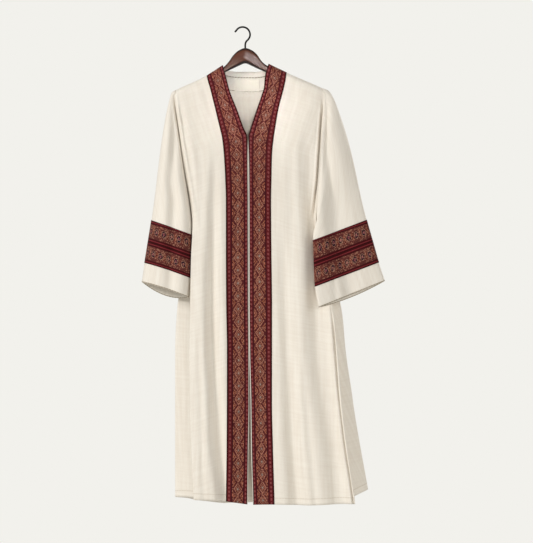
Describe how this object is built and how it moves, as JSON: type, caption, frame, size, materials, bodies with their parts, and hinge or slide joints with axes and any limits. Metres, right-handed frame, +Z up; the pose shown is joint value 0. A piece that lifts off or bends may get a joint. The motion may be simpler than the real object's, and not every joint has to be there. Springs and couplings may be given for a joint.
{
  "type": "abaya on a hanger",
  "caption": "Open front abaya in cream linen with woven ribbon down the fronts, round the neck and on the wide sleeves, hung on a contoured wooden hanger with a wire hook.",
  "frame": {"origin": "the point inside the top of the hook, where a rail carries the hanger", "axes": "+Z up along the pull of the hook, -Y out of the garment's front, +X towards the wearer's left"},
  "size_m": [0.7599, 0.1658, 1.4912],
  "materials": {
    "cream_linen": "plain weave linen with slubs, matt",
    "linen_facing": "plain weave linen inside the neck, matt",
    "woven_ribbon": "jacquard ribbon, maroon with rose lozenges, slight sheen",
    "label_satin": "woven satin, bare",
    "walnut": "dark walnut stain under satin lacquer",
    "gunmetal_wire": "black nickel plated wire"
  },
  "bodies": {
    "root": {"back": "cream_linen", "front_left": "cream_linen", "front_right": "cream_linen", "sleeve_left": "cream_linen", "sleeve_right": "cream_linen", "ribbon_front_left": "woven_ribbon", "ribbon_front_right": "woven_ribbon", "ribbon_back": "woven_ribbon", "sleeve_ribbon_upper_left": "woven_ribbon", "sleeve_ribbon_lower_left": "woven_ribbon", "sleeve_ribbon_upper_right": "woven_ribbon", "sleeve_ribbon_lower_right": "woven_ribbon", "neck_band": "linen_facing", "neck_facing": "linen_facing", "label": "label_satin", "hanger_body": "walnut", "hook": "gunmetal_wire"}
  },
  "joints": []
}
